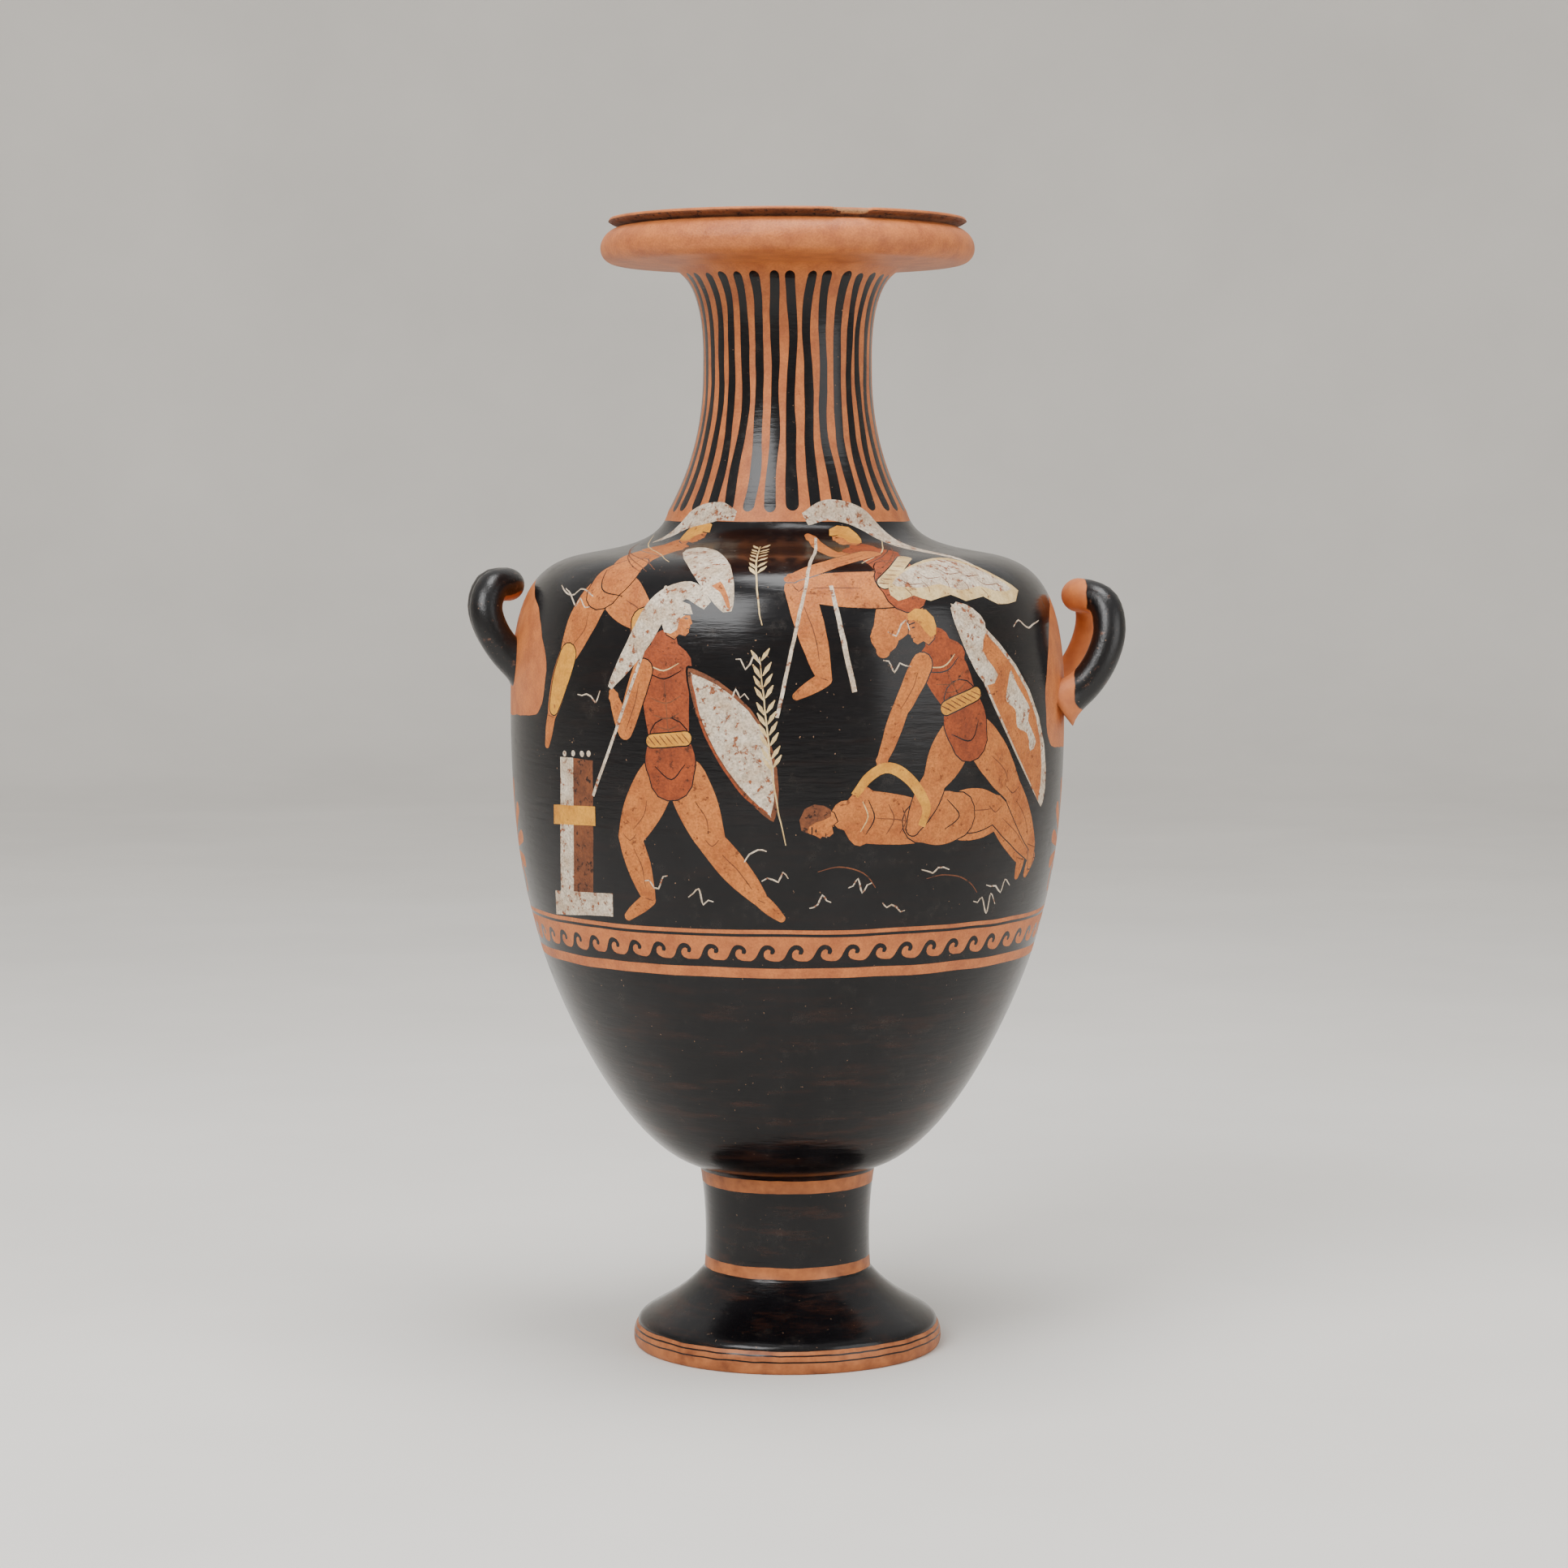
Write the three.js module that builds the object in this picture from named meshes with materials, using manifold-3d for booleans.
// Hydria: a three-handled water jar of fired clay, thrown and joined as one piece.
// Millimetres, +Z up. The origin is the centre of the foot's resting ring, the front faces -Y,
// the two side handles stand at -X and +X, and the strap handle is at the back, +Y.
import * as THREE from "three";
import { mergeVertices } from "three/addons/utils/BufferGeometryUtils.js";
import Module from "manifold-3d";

// Foot and stem
const FOOT_RADIUS = 71.6;
const FOOT_EDGE_HEIGHT = 9.6;
const RESTING_RING_INNER = 57;
const RESTING_RING_OUTER = 70;
const STEM_RADIUS = 38.6;
const STEM_BOTTOM = 35.6;
const STEM_TOP = 84;

// Bowl, belly and shoulder
const BOWL_RADIUS = 114.7;
const BOWL_HEIGHT = 190;
const BELLY_RADIUS = 127.4;
const BELLY_HEIGHT = 298;
const SHOULDER_RADIUS = 100;
const SHOULDER_HEIGHT = 365.2;

// Neck and mouth
const NECK_BASE_RADIUS = 55;
const NECK_BASE_HEIGHT = 385.4;
const NECK_RADIUS = 38.7;
const RIM_UNDERSIDE_RADIUS = 52;
const RIM_RADIUS = 85.2;
const LIP_RADIUS = 81.8;
const MOUTH_RADIUS = 75.4;
const TOP_HEIGHT = 519;
const RIM_DEPTH = 22.5;
const RIM_UNDERSIDE_HEIGHT = TOP_HEIGHT - RIM_DEPTH;
const WAIST_SHARE = 0.574; // how far up the neck it is narrowest
const NECK_WAIST_HEIGHT = NECK_BASE_HEIGHT + WAIST_SHARE * (RIM_UNDERSIDE_HEIGHT - NECK_BASE_HEIGHT);

// Walls
const WALL = 5.5;
const FOOT_WALL = 8;
const VASE_FLOOR = 12;

// Side handles: a round rod, one loop each side, turned up and curled in
const LOOP_ROD = 15;
const LOOP_ROOT_HEIGHT = 318;
const LOOP_HALF_WIDTH = 24;
const LOOP_TOP_HEIGHT = 352.5;
const LOOP_CURL = 11;
const LOOP_ARCH = 0.56; // the share of a leg's length that bends into the arch
const LOOP_TWIST = THREE.MathUtils.degToRad(6); // anticlockwise from above, round the loop's own middle
const LEFT_REACH = 147;
const RIGHT_REACH = 152;
const RIGHT_ROOT_DROP = 15;
const RIGHT_TOP_DROP = 5;
const ROOT_PAD = 12;

// Back handle: a strap from the shoulder to the neck
const STRAP_WIDTH = 27;
const STRAP_THICKNESS = 12;
const STRAP_ROOT_RADIUS = 92;
const STRAP_REACH = 106;
const STRAP_BELOW_RIM = 18.5;
const STRAP_TOP_HEIGHT = RIM_UNDERSIDE_HEIGHT - STRAP_BELOW_RIM;

// Chip broken from the lip, to the right of the front
const CHIP_ANGLE = THREE.MathUtils.degToRad(19.6);
const CHIP_LENGTH = 14;
const CHIP_DEPTH = 4;
const CHIP_HEIGHT = 4.4;

// Fineness of the faceted solid
const SIDES = 46;
const LOOP_STEPS = 20;
const ROD_SIDES = 10;

const wasm = await Module();
wasm.setup();

const UP = new THREE.Vector3(0, 0, 1);
const point = (radius, height) => new THREE.Vector2(radius, height);

// The points of a cubic curve, without its first one, so that curves follow each other.
function bend(from, control1, control2, to, steps) {
  return new THREE.CubicBezierCurve(from, control1, control2, to).getPoints(steps).slice(1);
}

// A closed geometry as a solid.
function solid(geometry) {
  const bare = geometry.clone();
  bare.deleteAttribute("normal");
  bare.deleteAttribute("uv");
  const merged = mergeVertices(bare, 1e-3);
  return new wasm.Manifold(
    new wasm.Mesh({
      numProp: 3,
      vertProperties: new Float32Array(merged.attributes.position.array),
      triVerts: new Uint32Array(merged.index.array),
    }),
  );
}

// A solid turned round the Z axis from points that start and end on it, lowest point first.
function turned(points) {
  return solid(new THREE.LatheGeometry(points, SIDES).rotateX(Math.PI / 2));
}

function footOutline() {
  const edgeTop = point(FOOT_RADIUS - 2, FOOT_EDGE_HEIGHT + 0.8);
  const stemFoot = point(STEM_RADIUS, STEM_BOTTOM);
  return [
    point(RESTING_RING_OUTER, 0),
    ...bend(
      point(RESTING_RING_OUTER, 0),
      point(FOOT_RADIUS + 0.6, 0.2),
      point(FOOT_RADIUS + 0.6, FOOT_EDGE_HEIGHT - 2),
      edgeTop,
      4,
    ),
    ...bend(
      edgeTop,
      point(edgeTop.x - 0.5, edgeTop.y + 5.8),
      point(STEM_RADIUS + 14.4, STEM_BOTTOM - 17.6),
      stemFoot,
      5,
    ),
  ];
}

function stemOutline() {
  const middle = (STEM_BOTTOM + STEM_TOP) / 2;
  return [point(STEM_RADIUS - 0.4, middle), point(STEM_RADIUS + 2.2, STEM_TOP)];
}

function bodyOutline() {
  const stemHead = point(STEM_RADIUS + 2.2, STEM_TOP);
  const bowl = point(BOWL_RADIUS, BOWL_HEIGHT);
  const belly = point(BELLY_RADIUS, BELLY_HEIGHT);
  const shoulder = point(SHOULDER_RADIUS, SHOULDER_HEIGHT);
  const neckBase = point(NECK_BASE_RADIUS, NECK_BASE_HEIGHT);
  const underBowl = point(stemHead.x + 35.5, STEM_TOP + 7);
  const belowBowl = point(BOWL_RADIUS - 6.3, BOWL_HEIGHT - 24);
  const aboveBowl = point(BOWL_RADIUS + 5.7, BOWL_HEIGHT + 21.6);
  const belowBelly = point(BELLY_RADIUS, BELLY_HEIGHT - 65);
  const aboveBelly = point(BELLY_RADIUS, BELLY_HEIGHT + 48);
  const outsideShoulder = point(SHOULDER_RADIUS + 17, SHOULDER_HEIGHT - 5.5);
  const insideShoulder = point(SHOULDER_RADIUS - 14, SHOULDER_HEIGHT + 4.5);
  const outsideNeck = point(NECK_BASE_RADIUS + 5, NECK_BASE_HEIGHT - 16.9);
  return [
    ...bend(stemHead, underBowl, belowBowl, bowl, 6),
    ...bend(bowl, aboveBowl, belowBelly, belly, 3),
    ...bend(belly, aboveBelly, outsideShoulder, shoulder, 6),
    ...bend(shoulder, insideShoulder, outsideNeck, neckBase, 4),
  ];
}

function neckOutline() {
  const neckBase = point(NECK_BASE_RADIUS, NECK_BASE_HEIGHT);
  const waist = point(NECK_RADIUS, NECK_WAIST_HEIGHT);
  const rimFoot = point(RIM_UNDERSIDE_RADIUS, RIM_UNDERSIDE_HEIGHT);
  const aboveBase = point(NECK_BASE_RADIUS - 0.5, NECK_BASE_HEIGHT + 3.3);
  const belowWaist = point(NECK_RADIUS, NECK_WAIST_HEIGHT - 39);
  const aboveWaist = point(NECK_RADIUS, NECK_WAIST_HEIGHT + 8);
  const belowRim = point(NECK_RADIUS - 2, RIM_UNDERSIDE_HEIGHT - 7.3);
  const lower = bend(neckBase, aboveBase, belowWaist, waist, 4);
  const upper = bend(waist, aboveWaist, belowRim, rimFoot, 4);
  return [...lower, ...upper];
}

function rimOutline() {
  const rollBottom = point(RIM_RADIUS - 6.2, RIM_UNDERSIDE_HEIGHT + 2.1);
  const rollTop = point(LIP_RADIUS - 3.3, TOP_HEIGHT - 4.4);
  const lipFoot = point(LIP_RADIUS - 5.8, TOP_HEIGHT - 3.6);
  const rollOutside = point(RIM_RADIUS + 3, rollBottom.y + 1.4);
  const rollAbove = point(RIM_RADIUS + 2, rollTop.y - 3);
  return [
    rollBottom,
    ...bend(rollBottom, rollOutside, rollAbove, rollTop, 4),
    lipFoot,
    point(LIP_RADIUS - 1.6, TOP_HEIGHT - 2.2),
    point(LIP_RADIUS, TOP_HEIGHT - 1.2),
    point(LIP_RADIUS - 0.6, TOP_HEIGHT),
    point(MOUTH_RADIUS + 1.6, TOP_HEIGHT),
  ];
}

// The whole outer form, closed over the mouth and under the foot.
function outerForm() {
  return turned([
    point(0, 0),
    ...footOutline(),
    ...stemOutline(),
    ...bodyOutline(),
    ...neckOutline(),
    ...rimOutline(),
    point(0, TOP_HEIGHT),
  ]);
}

// The points of an outline moved inwards by a wall's thickness, square to the outline.
function insetOutline(points, wall) {
  return points.slice(1, -1).map((here, i) => {
    const along = points[i + 2].clone().sub(points[i]).normalize();
    return point(here.x - along.y * wall, here.y + along.x * wall);
  });
}

// The hollow inside: the vase's floor, its walls, and the mouth's funnel.
function cavity() {
  const floor = STEM_TOP + VASE_FLOOR;
  const walls = insetOutline([...bodyOutline(), ...neckOutline().slice(0, 6)], WALL).filter(
    (p, i, all) => p.y > floor + WALL && (i === 0 || p.y > all[i - 1].y - 1),
  );
  const funnelFoot = walls.at(-1);
  const mouth = point(MOUTH_RADIUS, TOP_HEIGHT - 1);
  return turned([
    point(0, floor),
    point(walls[0].x * 0.62, floor + 1.5),
    ...walls,
    ...bend(
      funnelFoot,
      point(funnelFoot.x + 1.5, RIM_UNDERSIDE_HEIGHT + 3),
      point(MOUTH_RADIUS - 13, RIM_UNDERSIDE_HEIGHT + 7),
      mouth,
      4,
    ),
    point(MOUTH_RADIUS + 1.6, TOP_HEIGHT + 1),
    point(0, TOP_HEIGHT + 1),
  ]);
}

// The hollow under the foot, which runs up inside the stem.
function footHollow() {
  const inner = STEM_RADIUS - FOOT_WALL;
  return turned([
    point(0, -1),
    point(RESTING_RING_INNER, -1),
    point(RESTING_RING_INNER, 1),
    point(RESTING_RING_INNER - 5, 6),
    point(inner + 3, STEM_BOTTOM - 6),
    point(inner, STEM_BOTTOM + 6),
    point(inner, STEM_TOP - 12),
    point(inner * 0.7, STEM_TOP - 3),
    point(0, STEM_TOP),
  ]);
}

// A round or oval section, drawn for a sweep along a curve.
function ovalSection(width, thickness) {
  const oval = new THREE.EllipseCurve(0, 0, width / 2, thickness / 2);
  return new THREE.Shape(oval.getPoints(ROD_SIDES).slice(0, -1));
}

// A rod that follows a curve.
function sweep(curve, section, steps) {
  return solid(new THREE.ExtrudeGeometry(section, { steps, bevelEnabled: false, extrudePath: curve }));
}

// The clay pressed round a handle's root.
function rootPad(x, y, z) {
  const pad = new THREE.SphereGeometry(ROOT_PAD, ROD_SIDES, ROD_SIDES / 2);
  return solid(pad.scale(0.85, 0.85, 1.2).translate(x, y, z));
}

// The vessel's outside radius at a height above the stem.
function radiusAt(height) {
  const outline = [...bodyOutline(), ...neckOutline()];
  const above = outline.findIndex((p) => p.y >= height);
  const [low, high] = [outline[above - 1], outline[above]];
  return low.x + ((high.x - low.x) * (height - low.y)) / (high.y - low.y);
}

// The centre line of a side handle's rod: two legs that rise from the belly on a slant, turn up, and meet
// in a round top that curls back towards the vase.
function loopRoute(side, reach, root, top) {
  const centre = reach - LOOP_ROD / 2;
  const bow = new THREE.CubicBezierCurve(
    point(radiusAt(root) - WALL, root - 3),
    point(centre + 1.5, root + 9),
    point(centre + 7, top + 3.5),
    point(centre - LOOP_CURL, top),
  );
  const straight = 1 - LOOP_ARCH;
  const legs = [0, 0.5, 1].map((share) => [share * straight, LOOP_HALF_WIDTH]);
  const arch = [22.5, 45, 67.5].map((degrees) => {
    const turn = THREE.MathUtils.degToRad(degrees);
    return [straight + (1 - straight) * Math.sin(turn), LOOP_HALF_WIDTH * Math.cos(turn)];
  });
  const half = [...legs, ...arch];
  const mirrored = half.map(([share, y]) => [share, -y]).reverse();
  return [...half, [1, 0], ...mirrored].map(([share, y]) => {
    const place = bow.getPointAt(share);
    const fromMiddle = new THREE.Vector3(side * (place.x - centre), y, place.y);
    return fromMiddle.applyAxisAngle(UP, LOOP_TWIST).add(new THREE.Vector3(side * centre, 0, 0));
  });
}

// A side handle, at -X or +X.
function sideHandle(side, reach, root, top) {
  const route = loopRoute(side, reach, root, top);
  const rod = sweep(new THREE.CatmullRomCurve3(route), ovalSection(LOOP_ROD, LOOP_ROD), LOOP_STEPS);
  return [route[0], route.at(-1)].reduce(
    (made, end) => made.add(rootPad(side * (radiusAt(root) - 5), end.y, root - 3)),
    rod,
  );
}

// The strap at the back: up from the shoulder, over, and into the neck under the rim.
function backHandle() {
  const inNeck = NECK_RADIUS - WALL / 2;
  const rise = STRAP_TOP_HEIGHT - SHOULDER_HEIGHT;
  const route = [
    [STRAP_ROOT_RADIUS - 5, SHOULDER_HEIGHT - 2],
    [STRAP_ROOT_RADIUS + 3, SHOULDER_HEIGHT + 0.14 * rise],
    [STRAP_REACH - STRAP_THICKNESS / 2, SHOULDER_HEIGHT + 0.425 * rise],
    [STRAP_REACH - STRAP_THICKNESS, SHOULDER_HEIGHT + 0.734 * rise],
    [(STRAP_REACH + inNeck) / 2 + 4, STRAP_TOP_HEIGHT - 7],
    [inNeck + 14, STRAP_TOP_HEIGHT - 3],
    [inNeck, STRAP_TOP_HEIGHT - 10],
  ].map(([y, z]) => new THREE.Vector3(0, y, z));
  return sweep(new THREE.CatmullRomCurve3(route), ovalSection(STRAP_WIDTH, STRAP_THICKNESS), LOOP_STEPS);
}

// The bite that is missing from the lip's edge.
function lipChip() {
  const bite = new THREE.SphereGeometry(1, 8, 6)
    .scale(CHIP_LENGTH / 2, CHIP_DEPTH, CHIP_HEIGHT / 2)
    .translate(0, -LIP_RADIUS - 1.2, TOP_HEIGHT - 1.4)
    .rotateZ(CHIP_ANGLE);
  return solid(bite);
}

function buildHydria() {
  const rightRoot = LOOP_ROOT_HEIGHT - RIGHT_ROOT_DROP;
  const rightTop = LOOP_TOP_HEIGHT - RIGHT_TOP_DROP;
  const clay = outerForm()
    .add(sideHandle(-1, LEFT_REACH, LOOP_ROOT_HEIGHT, LOOP_TOP_HEIGHT))
    .add(sideHandle(1, RIGHT_REACH, rightRoot, rightTop))
    .add(backHandle())
    .subtract(cavity())
    .subtract(footHollow())
    .subtract(lipChip())
    .getMesh();
  const geometry = new THREE.BufferGeometry();
  geometry.setAttribute("position", new THREE.BufferAttribute(clay.vertProperties, 3));
  geometry.setIndex(new THREE.BufferAttribute(clay.triVerts, 1));
  geometry.computeVertexNormals();
  const slip = new THREE.MeshStandardMaterial({ color: 0x1c1a19, roughness: 0.35, metalness: 0 });
  const mesh = new THREE.Mesh(geometry, slip);
  mesh.name = "hydria";
  return mesh;
}

const vessel = new THREE.Group();
vessel.add(buildHydria());

export default vessel;
